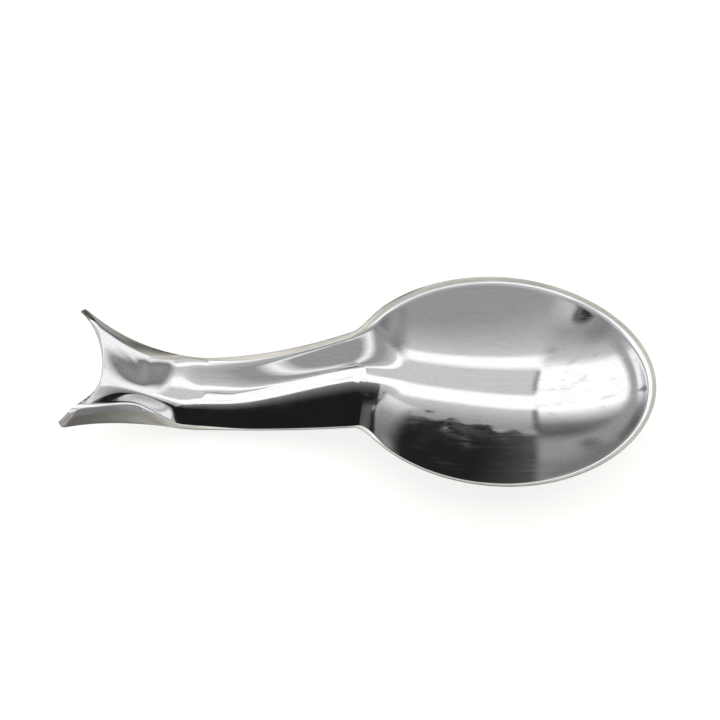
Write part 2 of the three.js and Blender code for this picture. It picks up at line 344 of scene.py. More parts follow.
@dataclass
class PressedSheet:
    """The whole spoon rest: bowl, neck, trough and forked tail, drawn from one blank.

    Sizes are in mm and angles in degrees. A flare, rise, curve or crowding is a power. The ridge's two places
    are shares of the neck's width, and the two sides of the rim are heights on a circle of 1.
    """

    name: str = "pressed_sheet"
    sheet: float = 0.7
    bowl_length: float = 125.96
    bowl_width: float = 99.12
    bowl_depth: float = 20.3
    bowl_rim: float = 1.7
    tip_rim: float = 2.2
    tip_taper: float = 0.035
    deepest_from_middle: float = 0.6
    bowl_round: float = 0.6
    bowl_lean: float = 7.0
    bowl_lean_from_waist: float = 79.0
    bowl_lean_spread: float = 60.0
    waist_from_bowl: float = 121.0
    waist_width: float = 34.6
    waist_rim_height: float = 6.3
    handle_rim: float = 1.7
    belly_length: float = 12.0
    belly_from_waist: float = 4.9
    trough_round: float = 0.42
    trough_lean: float = 11.0
    trough_lean_from_waist: float = 61.0
    trough_lean_spread: float = 42.0
    tail_lean: float = -2.2
    tail_lean_from_waist: float = 12.0
    neck_from_waist: float = 69.0
    neck_width: float = 47.4
    ridge_from_waist: float = 77.0
    ridge_height: float = 12.0
    trim_shift: float = 1.48
    trim_before: float = 8.0
    trim_after: float = 22.0
    trim_spread: float = 70.0
    tail_from_waist: float = 50.1
    tail_width: float = 56.0
    tail_height: float = 27.96
    notch_from_waist: float = 38.3
    notch_height: float = 22.5
    fork_from_waist: float = 23.0
    horn_radius: float = 1.8
    lip_width: float = 7.5
    lip_drop: float = 4.4
    far_lip_drop: float = 2.0
    lip_from_waist: float = 7.0
    lip_full_from_waist: float = 27.0
    horn_drop: float = 1.8
    rim_crease: float = 1.5
    near_rim_crease: float = 0.15
    ridge_crease: float = 3.0
    near_ridge: float = 4.0
    far_ridge: float = 11.0
    near_ridge_place: float = -0.25
    far_ridge_place: float = 0.15
    corner_crease: float = 5.0
    neck_flare: float = 1.6
    tail_flare: float = 2.9
    neck_rise: float = 2.0
    tail_rise: float = 1.56
    ridge_rise: float = 1.9
    notch_rise: float = 1.7
    fork_curve: float = 2.2
    lip_curve: float = 1.4
    bend: float = 0.6
    near_bend: float = 0.12
    satin_lip: float = 4.0
    far_satin_lip: float = 5.6
    near_side: float = -0.8
    far_side: float = 0.2
    least_share: float = 0.02
    least_square: float = 0.05
    hollow_crowding: float = 1.35
    edge_round: float = 0.12
    edge_segments: int = 2
    edge_angle: float = 60.0
    smooth_angle: float = 40.0
    merge_within: float = 0.001
    section_step: float = 0.75
    ray_steps: int = 200
    satin_steps: int = 4
    bend_steps: int = 6
    hollow_steps: int = 42
    polished: PolishedSteel = field(default_factory=PolishedSteel)
    satin: SatinRim = field(default_factory=SatinRim)
    cut: CutEdge = field(default_factory=CutEdge)

    def __post_init__(self) -> None:
        """Works out the places along the part, with the middle of its length at x = 0."""
        self.tip_x = (self.bowl_length / 2 + self.waist_from_bowl + self.tail_from_waist) / 2
        self.bowl_x = self.tip_x - self.bowl_length / 2
        self.waist_x = self.bowl_x - self.waist_from_bowl
        self.neck_x = self.waist_x + self.neck_from_waist
        self.fork_x = self.waist_x - self.fork_from_waist
        self.notch_x = self.waist_x - self.notch_from_waist
        self.horn_x = self.waist_x - self.tail_from_waist
        self.belly_start = self.waist_x + self.belly_from_waist - self.belly_length / 2
        self.belly_end = self.belly_start + self.belly_length
        self.deepest_x = self.bowl_x - self.deepest_from_middle
        self.rim_height = self.sheet + self.bowl_depth

    def hollow(self, share: float, roundness: float) -> float:
        """Gives the height across a pressed hollow, 0 in its middle and 1 at its edge, by a rounded cone."""
        return (math.hypot(share, roundness) - roundness) / (math.hypot(1.0, roundness) - roundness)

    def ahead(self, x: float, reach: float) -> float:
        """Gives how far a section lies past the waist towards the bowl, as a share of a reach."""
        return max(0.0, x - self.waist_x) / reach

    def behind(self, x: float, reach: float) -> float:
        """Gives how far a section lies past the waist towards the tail, as a share of a reach."""
        return max(0.0, self.waist_x - x) / reach

    def handle_half_width(self, x: float) -> float:
        """Gives half the width of the handle's outline, as if the bowl were not there.

        Args:
            x: The section's place along the part.

        Returns:
            The half width.
        """
        reach = self.tail_from_waist - self.horn_radius
        to_neck = (self.neck_width - self.waist_width) / 2
        to_tail = (self.tail_width - self.waist_width) / 2
        grown = to_neck * self.ahead(x, self.neck_from_waist) ** self.neck_flare
        return self.waist_width / 2 + grown + to_tail * self.behind(x, reach) ** self.tail_flare

    def taper(self, along: float) -> float:
        """Gives the oval's width as a share of a true oval, at a share of the way to its tip."""
        return 1 - self.tip_taper * max(0.0, along) ** 2

    def bowl_half_width(self, x: float, rim: float) -> float:
        """Gives half the width of the bowl's oval short of its middle, drawn in by a rim."""
        share = (x - self.bowl_x) / (self.bowl_length / 2 - rim)
        return (self.bowl_width / 2 - rim) * math.sqrt(max(0.0, 1 - share ** 2))

    def outline_half_width(self, x: float) -> float:
        """Gives half the width of the trimmed outline, with the horn tips rounded off.

        Args:
            x: The section's place along the part.

        Returns:
            The half width.
        """
        shoulder = self.horn_x + self.horn_radius
        past = clamp(shoulder - x, 0.0, self.horn_radius)
        rounded = self.horn_radius - math.sqrt(self.horn_radius ** 2 - past ** 2)
        handle = self.handle_half_width(max(x, shoulder))
        return soft_max(handle, self.bowl_half_width(x, 0.0), self.corner_crease) - rounded

    def handle_edge_height(self, x: float) -> float:
        """Gives the height of the handle's trimmed edge, as if the bowl were not there.

        Args:
            x: The section's place along the part.

        Returns:
            The edge's height.
        """
        to_bowl = self.rim_height - self.waist_rim_height
        to_tail = self.tail_height - self.waist_rim_height
        risen = to_bowl * self.ahead(x, self.neck_from_waist) ** self.neck_rise
        raised = to_tail * self.behind(x, self.tail_from_waist) ** self.tail_rise
        return self.waist_rim_height + risen + raised

    def edge_height(self, x: float) -> float:
        """Gives the height of the whole trimmed edge, level round the bowl."""
        height = self.handle_edge_height(x)
        return height if x < self.waist_x else soft_min(height, self.rim_height, self.ridge_crease)

    def floor_height(self, x: float) -> float:
        """Gives the height of the trough's floor: flat under the waist, rising to the ridge and the notch.

        Args:
            x: The section's place along the part.

        Returns:
            The floor's height.
        """
        to_ridge = max(0.0, x - self.belly_end) / (self.waist_x + self.ridge_from_waist - self.belly_end)
        to_notch = max(0.0, self.belly_start - x) / (self.belly_start - self.notch_x)
        ridge = self.ridge_height * to_ridge ** self.ridge_rise
        return self.sheet + ridge + (self.notch_height - self.sheet) * to_notch ** self.notch_rise

    def hollow_middle(self, x: float) -> float:
        """Gives the middle of the hollow, which lies off the trimmed outline's middle at the neck.

        Args:
            x: The section's place along the part.

        Returns:
            The middle's y.
        """
        grown = smooth_step(x, self.waist_x - self.trim_before, self.waist_x + self.trim_after)
        past = max(0.0, x - self.neck_x) / self.trim_spread
        return -self.trim_shift * grown * math.exp(-past ** 2)

    def bowl_shift(self, x: float) -> float:
        """Gives how far the bowl's lowest line lies off the hollow's middle."""
        lean_x = self.waist_x + self.bowl_lean_from_waist
        return self.bowl_lean * math.exp(-(((x - lean_x) / self.bowl_lean_spread) ** 2))

    def trough_shift(self, x: float) -> float:
        """Gives how far the trough's lowest line lies off the hollow's middle.

        Args:
            x: The section's place along the part.

        Returns:
            The shift in y.
        """
        lean_x = self.waist_x + self.trough_lean_from_waist
        tail = self.tail_lean * smooth_step(self.waist_x - x, 0.0, self.tail_lean_from_waist)
        return tail + self.trough_lean * math.exp(-(((x - lean_x) / self.trough_lean_spread) ** 2))

    def section_x(self, section: float, share: float) -> float:
        """Gives a point's x on a section, which past the fork bends back into the horns.

        Args:
            section: The section's x at its middle.
            share: How far out the point lies, 1 on the edge.

        Returns:
            The point's x.
        """
        if section >= self.fork_x:
            return section
        edge = mix(self.fork_x, self.horn_x, (self.fork_x - section) / (self.fork_x - self.notch_x))
        return mix(section, edge, share ** self.fork_curve)

    def bowl_height(self, x: float, y: float) -> float:
        """Gives the height of the bowl's hollow at a point in plan.

        Args:
            x: The point's x.
            y: The point's y.

        Returns:
            The height.
        """
        half = self.bowl_length / 2 - (self.tip_rim if x > self.bowl_x else self.bowl_rim)
        half_width = self.bowl_width / 2 - self.bowl_rim
        along = (x - self.bowl_x) / half
        across = (y - self.hollow_middle(x)) / half_width / self.taper(along)
        inside = max(0.0, 1 - along ** 2 - across ** 2)
        leaning = along + inside * self.deepest_from_middle / half
        skewed = across - inside * self.bowl_shift(x) / half_width
        full = math.hypot(1.0, self.bowl_round)
        rise = math.hypot(skewed, self.bowl_round) - self.bowl_round
        rise += full - math.sqrt(max(self.least_square, full ** 2 - leaning ** 2))
        return self.sheet + self.bowl_depth * rise / (full - self.bowl_round)

    def section_points(self, section: float, side: int) -> list[Vector]:
        """Places one half of a section of the tail, handle, neck or bowl.

        Args:
            section: The section's x at its middle.
            side: 1 for the +Y half, -1 for the other.

        Returns:
            Points from the edge to the middle.
        """
        edge_x = self.section_x(section, 1.0)
        grown = smooth_step(self.waist_x - section, self.lip_from_waist, self.lip_full_from_waist)
        faded = smooth_step(self.fork_x - section, 0.0, self.fork_x - self.notch_x)
        rim = mix(self.handle_rim, self.lip_width, grown)
        near_drop = mix(self.lip_drop * grown, self.horn_drop, faded)
        far_drop = mix(self.far_lip_drop * grown, self.horn_drop, faded)
        drop = far_drop if side > 0 else near_drop
        half = self.outline_half_width(edge_x)
        trough_half = self.handle_half_width(max(edge_x, self.horn_x + self.horn_radius)) - rim
        hollow_half = soft_max(trough_half, self.bowl_half_width(section, self.bowl_rim), self.ridge_crease)
        middle = self.hollow_middle(section)
        floor = self.floor_height(section)
        shift = self.trough_shift(section)
        edge_height = self.handle_edge_height(edge_x)
        lip_height = self.edge_height(edge_x)
        inner = middle + side * hollow_half
        width = abs(side * half - inner)
        crease = self.rim_crease if side > 0 else mix(self.near_rim_crease, self.rim_crease, grown)
        bend = self.bend if side > 0 else self.near_bend
        satin_lip = self.far_satin_lip if side > 0 else self.satin_lip
        satin_width = mix(max(0.0, width - bend), satin_lip, grown)

        def point(y: float, rim_share: float) -> Vector:
            """Places one point of the section.

            Args:
                y: The point's y.
                rim_share: How far out on the rim it lies, 0 in the hollow.

            Returns:
                The point.
            """
            x = self.section_x(section, min(1.0, abs(y) / half))
            off = y - middle - shift
            wall = trough_half - shift if off > 0 else trough_half + shift
            top = edge_height + (far_drop if off > 0 else near_drop)
            trough = floor + (top - floor) * self.hollow(abs(off) / wall, self.trough_round)
            lip = lip_height + drop * (1 - rim_share ** self.lip_curve)
            near_y, far_y = self.near_ridge_place * self.neck_width, self.far_ridge_place * self.neck_width
            ridge = mix(self.near_ridge, self.far_ridge, smooth_step(y, near_y, far_y))
            pressed = soft_min(trough, self.bowl_height(x, y), ridge)
            return Vector((x, y, soft_min(pressed, lip, crease)))

        shares = self.rim_shares(clamp(1 - satin_width / width, self.least_share, 1 - self.least_share))
        rims = [point(mix(inner, side * half, share), share) for share in shares]
        return rims + [point(mix(middle, inner, share), 0.0) for share in self.hollow_shares()]

    def ray_points(self, angle: float) -> list[Vector]:
        """Places one ray of the bowl round its tip.

        Args:
            angle: The ray's angle on the bowl's oval, from +X.

        Returns:
            Points from the edge to the deepest point.
        """
        middle = Vector((self.deepest_x, self.hollow_middle(self.deepest_x)))
        end_rim = self.tip_rim if math.cos(angle) > 0 else self.bowl_rim
        narrowing = self.taper(math.cos(angle))
        inner = Vector((
            self.bowl_x + (self.bowl_length / 2 - end_rim) * math.cos(angle),
            middle.y + (self.bowl_width / 2 - self.bowl_rim) * math.sin(angle) * narrowing,
        ))
        edge = Vector((
            self.bowl_x + self.bowl_length / 2 * math.cos(angle),
            self.bowl_width / 2 * math.sin(angle) * narrowing,
        ))
        far = smooth_step(math.sin(angle), self.near_side, self.far_side)
        crease = mix(self.near_rim_crease, self.rim_crease, far)
        bend = mix(self.near_bend, self.bend, far)

        def point(place: Vector) -> Vector:
            """Places one point of the ray over its place in plan."""
            height = soft_min(self.bowl_height(place.x, place.y), self.rim_height, crease)
            return Vector((place.x, place.y, height))

        width = (edge - inner).length
        shares = self.rim_shares(clamp(bend / width, self.least_share, 1 - self.least_share))
        rims = [point(inner.lerp(edge, share)) for share in shares]
        return rims + [point(middle.lerp(inner, share)) for share in self.hollow_shares()]

    def rim_shares(self, satin_from: float) -> list[float]:
        """Gives the rows on the rim, as shares of its width, with a row where the satin strip ends."""
        satin = [mix(1.0, satin_from, i / self.satin_steps) for i in range(self.satin_steps)]
        return satin + [satin_from * (1 - i / self.bend_steps) for i in range(self.bend_steps)]

    def hollow_shares(self) -> list[float]:
        """Gives the rows in the hollow, as shares of its half width, crowded under the rim."""
        return [1 - (i / self.hollow_steps) ** self.hollow_crowding for i in range(self.hollow_steps + 1)]

    def columns(self) -> list[list[Vector]]:
        """Gives the columns of points along the +Y edge, round the bowl's tip and back along the -Y edge.

        Returns:
            One list of points from the edge to the middle for each column.
        """
        count = round((self.deepest_x - self.notch_x) / self.section_step)
        sections = [mix(self.notch_x, self.deepest_x, i / count) for i in range(count + 1)]
        start = math.acos(-self.deepest_from_middle / (self.bowl_length / 2))
        angles = [mix(start, -start, i / self.ray_steps) for i in range(1, self.ray_steps)]
        return [
            *[self.section_points(section, 1) for section in sections],
            *[self.ray_points(angle) for angle in angles],
            *[self.section_points(section, -1) for section in reversed(sections)],
        ]

    def build(self) -> bpy.types.Object:
        """Draws a flat gridded blank into shape and gives it the sheet's thickness.

        Returns:
            The finished sheet, in metres at the frame's origin.
        """
        columns = self.columns()
        across, along = len(columns) - 1, len(columns[0]) - 1
        bpy.ops.object.select_all(action="DESELECT")
        bpy.ops.mesh.primitive_grid_add(x_subdivisions=across, y_subdivisions=along, size=1.0)
        sheet = bpy.context.active_object
        sheet.name = sheet.data.name = self.name
        self.draw(sheet.data, columns)
        bpy.ops.object.mode_set(mode="EDIT")
        bpy.ops.mesh.select_all(action="SELECT")
        bpy.ops.mesh.remove_doubles(threshold=self.merge_within * MM)
        bpy.ops.object.mode_set(mode="OBJECT")
        self.thicken(sheet)
        return sheet

    def draw(self, mesh: bpy.types.Mesh, columns: list[list[Vector]]) -> None:
        """Moves the blank's points into the press tool's shape and marks the satin strips.

        Args:
            mesh: The flat gridded blank, one unit square.
            columns: The points to move to, from the edge to the middle in each column.
        """
        across, along = len(columns) - 1, len(columns[0]) - 1
        places = [
            (round((v.co.x + 0.5) * across), along - round((v.co.y + 0.5) * along))
            for v in mesh.vertices
        ]
        for face in mesh.polygons:
            row = min(places[v][1] for v in face.vertices)
            face.material_index = (Zone.SATIN if row < self.satin_steps else Zone.POLISHED).value
        for vertex, (column, row) in zip(mesh.vertices, places):
            vertex.co = columns[column][row] * MM

    def thicken(self, sheet: bpy.types.Object) -> None:
        """Gives the drawn face its thickness and rounds the sheared edges a little.

        Args:
            sheet: The drawn upper face.
        """
        solid = sheet.modifiers.new("thickness", "SOLIDIFY")
        solid.thickness = self.sheet * MM
        solid.offset = -1.0
        solid.use_even_offset = True
        solid.use_quality_normals = True
        solid.material_offset_rim = Zone.CUT.value
        bpy.ops.object.modifier_apply(modifier=solid.name)
        round_edge = sheet.modifiers.new("edge", "BEVEL")
        round_edge.width = self.edge_round * MM
        round_edge.segments = self.edge_segments
        round_edge.limit_method = "ANGLE"
        round_edge.angle_limit = math.radians(self.edge_angle)
        bpy.ops.object.modifier_apply(modifier=round_edge.name)
        bpy.ops.object.shade_smooth_by_angle(angle=math.radians(self.smooth_angle))

    def dress(self, sheet: bpy.types.Object) -> None:
        """Puts the finishes on the sheet and lets it stand for the frame's zones.

        Args:
            sheet: The finished sheet.
        """
        for finish in (self.polished, self.satin, self.cut):
            sheet.data.materials.append(finish.material())
        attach(sheet, "root")
        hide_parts("bowl", "neck", "handle", "tail")


@dataclass(frozen=True)
class Patch:
    """An oval patch in the tent: its back and side angles, half sizes, soft share, tone and strength."""

    place: Span
    size: Span
    soft: float
    tone: Tone
    strength: float


@dataclass
class Tent:
    """The soft tent of light round the part. Angles are in degrees.

    A direction has a back angle, from straight up towards +Y, and a side angle towards +X. The mirror finish
    shows all of it: a scrim overhead, two barred panels behind, a soft box at either end and a dark room low
    down. A list of stops runs along the back angle, and a span is a start and an end.
    """

    strength: float = 1.3
    low: float = -90.0
    high: float = 100.0
    front: Stops = ((-50, Tone.DIM),)
    low_front: Stops = ((-58, Tone.GREY), (-48, Tone.BRIGHT), (-39, Tone.GREY))
    left_front: Stops = ((-54, Tone.GREY), (-42, Tone.BRIGHT))
    bars: Stops = (
        (-30, Tone.GREY), (-12, Tone.PALE), (-9, Tone.WHITE), (-3, Tone.WHITE), (2, Tone.PALE),
        (30, Tone.PALE), (35, Tone.WHITE), (50, Tone.WHITE), (54, Tone.PALE),
        (71, Tone.GREY), (86, Tone.PALE),
    )
    left_box: Stops = (
        (-32, Tone.PALE), (-25, Tone.GREY), (-10, Tone.PALE), (-3, Tone.WHITE), (52, Tone.WHITE),
        (60, Tone.PALE), (68, Tone.DIM), (75, Tone.SHADE), (88, Tone.DIM),
    )
    right_box: Stops = (
        (-30, Tone.GREY), (-5, Tone.DIM), (4, Tone.PALE), (18, Tone.BRIGHT),
        (75, Tone.BRIGHT), (90, Tone.GREY),
    )
    white_end: Stops = (
        (-15, Tone.GREY), (-8, Tone.PALE), (0, Tone.BRIGHT), (58, Tone.BRIGHT),
        (75, Tone.GREY), (84, Tone.DIM),
    )
    edge_back: Span = (0.0, 72.0)
    edge_side: Span = (-10.5, 3.5)
    edge_soft_back: Span = (-16.0, -2.0)
    edge_soft: Span = (5.0, 0.8)
    frame_half: Span = (1.3, 0.2)
    frame_strength: float = 0.75
    frame_line: tuple[Span, ...] = (
        (0, 0.01), (4, 1.0), (24, 1.0), (33, 0.07), (50, 0.07), (54, 1.0), (70, 1.0), (73, 0.01),
    )
    end_low_back: Span = (55.0, 64.0)
    end_widening: Span = (0.0, 18.0)
    end_side: Span = (39.0, 45.0)
    far_end_side: Span = (43.0, 47.0)
    far_end_tilt_side: Span = (47.0, 57.0)
    far_end_tilt: Span = (-1.0, -30.0)
    lump_scale: float = 0.36
    lump_squash: float = 0.5
    lump_side: Span = (4.0, 13.0)
    lump_cloud: Span = (0.32, 0.68)
    lump_drop: Span = (-8.0, 5.0)
    room_side: Span = (5.0, 21.0)
    room_top: Span = (74.0, 70.0)
    room_edge: Span = (-1.0, 1.5)
    room_foot: Span = (86.0, 83.0)
    room_deep: Span = (74.0, 80.0)
    room_mottle: Stops = ((0.35, Tone.SHADE), (0.5, Tone.DARK), (0.75, Tone.SHADE))
    box_slant_side: Span = (-52.0, -4.0)
    box_slant: Span = (-13.0, 0.0)
    box_middle: Span = (20.0, 0.0)
    box_half: Span = (61.0, 49.0)
    box_rim: tuple[Span, ...] = (
        (0.88, 0.0), (0.95, 0.92), (1.01, 0.92), (1.04, 0.16), (1.08, 0.16), (1.12, 0.92),
    )
    rim_reach: float = 1.5
    fold_scale: float = 11.0
    fold_cloth: Span = (0.54, 0.74)
    fold_strength: float = 0.36
    patches: tuple[Patch, ...] = (
        Patch((80.5, -5.0), (3.5, 4.0), 0.8, Tone.SHADE, 0.7),
        Patch((-18.0, -33.0), (10.0, 12.0), 0.9, Tone.DIM, 0.7),
        Patch((-13.0, -14.5), (3.6, 3.6), 0.9, Tone.GREY, 0.8),
        Patch((-24.0, -26.0), (3.4, 6.5), 0.5, Tone.DARK, 1.0),
    )

    def build(self) -> None:
        """Makes the world's light from the tent's parts; the camera itself sees plain white."""
        world = bpy.data.worlds.new("light_tent")
        world.use_nodes = True
        bpy.context.scene.world = world
        tree = world.node_tree
        tree.nodes.clear()
        back, side, cloth = self.angles(tree)
        panels = self.barred_panels(tree, back, side)
        box = self.soft_box(tree, back, side, cloth)
        light = self.meeting(tree, back, side, box, panels)
        light = self.bowl_end(tree, back, side, light)
        seen = add_node(tree, "ShaderNodeLightPath").outputs["Is Camera Ray"]
        shone = add_node(tree, "ShaderNodeBackground", {"Color": light, "Strength": self.strength}).outputs[0]
        white = add_node(tree, "ShaderNodeBackground", {
            "Color": grey(Tone.WHITE), "Strength": 1.0,
        }).outputs[0]
        both = add_node(tree, "ShaderNodeMixShader", {0: seen, 1: shone, 2: white}).outputs[0]
        add_node(tree, "ShaderNodeOutputWorld", {"Surface": both})

    def angles(self, tree: Tree) -> tuple[Socket, Socket, Socket]:
        """Finds where a direction lies.

        Args:
            tree: The world's nodes.

        Returns:
            The back angle, the side angle and the soft folds of the cloth there.
        """
        way = add_node(tree, "ShaderNodeTexCoord").outputs["Generated"]
        part = add_node(tree, "ShaderNodeSeparateXYZ", {0: way}).outputs
        turn = add_node(tree, "ShaderNodeMath", {0: part["Y"], 1: part["Z"]}, operation="ARCTAN2").outputs[0]
        lean = add_node(tree, "ShaderNodeMath", {0: part["X"]}, operation="ARCSINE").outputs[0]
        back = add_node(tree, "ShaderNodeMath", {0: turn}, operation="DEGREES").outputs[0]
        side = add_node(tree, "ShaderNodeMath", {0: lean}, operation="DEGREES").outputs[0]
        folds = add_node(tree, "ShaderNodeTexNoise", {
            "Vector": way, "Scale": self.fold_scale, "Detail": 4.0,
        }).outputs["Fac"]
        return back, side, folds

    def profile(self, tree: Tree, angle: Socket, stops: list[tuple[float, tuple]]) -> Socket:
        """Gives the light that changes only with one angle.

        Args:
            tree: The world's nodes.
            angle: The angle.
            stops: Pairs of angle and linear colour, in rising order.

        Returns:
            The light's colour.
        """
        share = add_node(tree, "ShaderNodeMapRange", {
            "Value": angle, **limits((self.low, self.high)),
        }).outputs["Result"]
        ramp = add_node(tree, "ShaderNodeValToRGB", {"Fac": share})
        reach = self.high - self.low
        set_ramp(ramp, [((place - self.low) / reach, colour) for place, colour in stops])
        return ramp.outputs["Color"]

    def toned(self, stops: Stops) -> list[tuple[float, tuple]]:
        """Gives stops with their tones as linear colours."""
        return [(place, grey(tone)) for place, tone in stops]

    def reach(self, tree: Tree, back: Socket, side: Socket, place: Span, size: Span) -> Socket:
        """Gives how far a direction lies from an oval's middle, 1 on the oval itself.

        Args:
            tree: The world's nodes.
            back: The back angle.
            side: The side angle.
            place: The oval's own back and side angles.
            size: Its half sizes along both.

        Returns:
            The distance as a share of the oval's size.
        """
        up = add_node(tree, "ShaderNodeMapRange", {
            "Value": back, **limits((place[0], place[0] + size[0])),
        }, clamp=False).outputs["Result"]
        out = add_node(tree, "ShaderNodeMapRange", {
            "Value": side, **limits((place[1], place[1] + size[1])),
        }, clamp=False).outputs["Result"]
        spread = add_node(tree, "ShaderNodeCombineXYZ", {0: up, 1: out}).outputs[0]
        return add_node(tree, "ShaderNodeVectorMath", {0: spread}, operation="LENGTH").outputs["Value"]

    def barred_panels(self, tree: Tree, back: Socket, side: Socket) -> Socket:
        """Gives the light from behind: two grey panels between white bars, over the dark room.

        Args:
            tree: The world's nodes.
            back: The back angle.
            side: The side angle.

        Returns:
            The light's colour.
        """
        panels = self.profile(tree, back, self.toned(self.low_front + self.bars))
        flat = add_node(tree, "ShaderNodeCombineXYZ", {0: side, 1: back}).outputs[0]
        wide = add_node(tree, "ShaderNodeVectorMath", {
            0: flat, 1: (1.0, self.lump_squash, 1.0),
        }, operation="MULTIPLY").outputs[0]
        clouds = add_node(tree, "ShaderNodeTexNoise", {
            "Vector": wide, "Scale": self.lump_scale, "Detail": 3.0,
        }).outputs["Fac"]
        lumpy = add_node(tree, "ShaderNodeMapRange", {
            "Value": side, **limits(self.lump_side),
        }, interpolation_type="SMOOTHSTEP").outputs["Result"]
        lumps = add_node(tree, "ShaderNodeMapRange", {
            "Value": clouds, **limits(self.lump_cloud, self.lump_drop),
        }).outputs["Result"]
        drop = add_node(tree, "ShaderNodeMath", {0: lumpy, 1: lumps}, operation="MULTIPLY").outputs[0]
        slope = add_node(tree, "ShaderNodeMapRange", {
            "Value": side, **limits(self.room_side, self.room_top),
        }).outputs["Result"]
        start = add_node(tree, "ShaderNodeMath", {0: drop, 1: slope}, operation="ADD").outputs[0]
        below = add_node(tree, "ShaderNodeMath", {0: back, 1: start}, operation="SUBTRACT").outputs[0]
        edge = add_node(tree, "ShaderNodeMapRange", {
            "Value": below, **limits(self.room_edge),
        }, interpolation_type="SMOOTHSTEP").outputs["Result"]
        foot = add_node(tree, "ShaderNodeMapRange", {
            "Value": back, **limits(self.room_foot),
        }, interpolation_type="SMOOTHSTEP").outputs["Result"]
        dark = add_node(tree, "ShaderNodeMath", {0: edge, 1: foot}, operation="MULTIPLY").outputs[0]
        mottle = add_node(tree, "ShaderNodeValToRGB", {"Fac": clouds})
        set_ramp(mottle, self.toned(self.room_mottle))
        deep = add_node(tree, "ShaderNodeMapRange", {
            "Value": back, **limits(self.room_deep),
        }, interpolation_type="SMOOTHSTEP").outputs["Result"]
        room = add_node(tree, "ShaderNodeMix", {
            0: deep, 6: mottle.outputs["Color"], 7: grey(Tone.DARK),
        }, data_type="RGBA").outputs[2]
        room = add_node(tree, "ShaderNodeMix", {
            0: lumpy, 6: grey(Tone.SHADE), 7: room,
        }, data_type="RGBA").outputs[2]
        return add_node(tree, "ShaderNodeMix", {0: dark, 6: panels, 7: room}, data_type="RGBA").outputs[2]

    def soft_box(self, tree: Tree, back: Socket, side: Socket, cloth: Socket) -> Socket:
        """Gives the light from the soft box at the handle's end, with its rim, its patches and its folds.

        Args:
            tree: The world's nodes.
            back: The back angle.
            side: The side angle.
            cloth: The soft folds of the cloth.

        Returns:
            The light's colour.
        """
        slant = add_node(tree, "ShaderNodeMapRange", {
            "Value": side, **limits(self.box_slant_side, self.box_slant),
        }).outputs["Result"]
        tilted = add_node(tree, "ShaderNodeMath", {0: back, 1: slant}, operation="ADD").outputs[0]
        box = self.profile(tree, tilted, self.toned(self.left_front + self.left_box))
        size = (self.box_half[0] * self.rim_reach, self.box_half[1] * self.rim_reach)
        reach = self.reach(tree, back, side, self.box_middle, size)
        ring = add_node(tree, "ShaderNodeValToRGB", {"Fac": reach})
        set_ramp(ring, [(place / self.rim_reach, plain(share)) for place, share in self.box_rim])
        box = add_node(tree, "ShaderNodeMix", {
            0: ring.outputs["Color"], 6: box, 7: grey(Tone.GREY),
        }, data_type="RGBA").outputs[2]
        for patch in self.patches:
            away = self.reach(tree, back, side, patch.place, patch.size)
            share = add_node(tree, "ShaderNodeMapRange", {
                "Value": away, **limits((1.0, 1.0 - patch.soft), (0.0, patch.strength)),
            }, interpolation_type="SMOOTHSTEP").outputs["Result"]
            box = add_node(tree, "ShaderNodeMix", {
                0: share, 6: box, 7: grey(patch.tone),
            }, data_type="RGBA").outputs[2]
        fold = add_node(tree, "ShaderNodeMapRange", {
            "Value": cloth, **limits(self.fold_cloth, (0.0, self.fold_strength)),
        }, interpolation_type="SMOOTHSTEP").outputs["Result"]
        return add_node(tree, "ShaderNodeMix", {
            0: fold, 6: box, 7: grey(Tone.GREY),
        }, data_type="RGBA").outputs[2]

    def meeting(self, tree: Tree, back: Socket, side: Socket, box: Socket, panels: Socket) -> Socket:
        """Sets the soft box beside the panels, with a slanting edge and a thin dark frame between them.

        Args:
            tree: The world's nodes.
            back: The back angle.
            side: The side angle.
            box: The soft box's light.
            panels: The barred panels' light.

        Returns:
            The light's colour.
        """
        edge = add_node(tree, "ShaderNodeMapRange", {
            "Value": back, **limits(self.edge_back, self.edge_side),
        }, clamp=False).outputs["Result"]
        past = add_node(tree, "ShaderNodeMath", {0: side, 1: edge}, operation="SUBTRACT").outputs[0]
        soft = add_node(tree, "ShaderNodeMapRange", {
            "Value": back, **limits(self.edge_soft_back, self.edge_soft),
        }).outputs["Result"]
        spread = add_node(tree, "ShaderNodeMath", {0: past, 1: soft}, operation="DIVIDE").outputs[0]
        inner = add_node(tree, "ShaderNodeMapRange", {
            "Value": spread, **limits((-1.0, 1.0)),
        }, interpolation_type="SMOOTHSTEP").outputs["Result"]
        light = add_node(tree, "ShaderNodeMix", {0: inner, 6: box, 7: panels}, data_type="RGBA").outputs[2]
        off = add_node(tree, "ShaderNodeMath", {0: past}, operation="ABSOLUTE").outputs[0]
        near = add_node(tree, "ShaderNodeMapRange", {
            "Value": off, **limits(self.frame_half, (0.0, self.frame_strength)),
        }, interpolation_type="SMOOTHSTEP").outputs["Result"]
        framed = self.profile(tree, back, [(place, plain(share)) for place, share in self.frame_line])
        line = add_node(tree, "ShaderNodeMath", {0: near, 1: framed}, operation="MULTIPLY").outputs[0]
        return add_node(tree, "ShaderNodeMix", {
            0: line, 6: light, 7: grey(Tone.SHADE),
        }, data_type="RGBA").outputs[2]

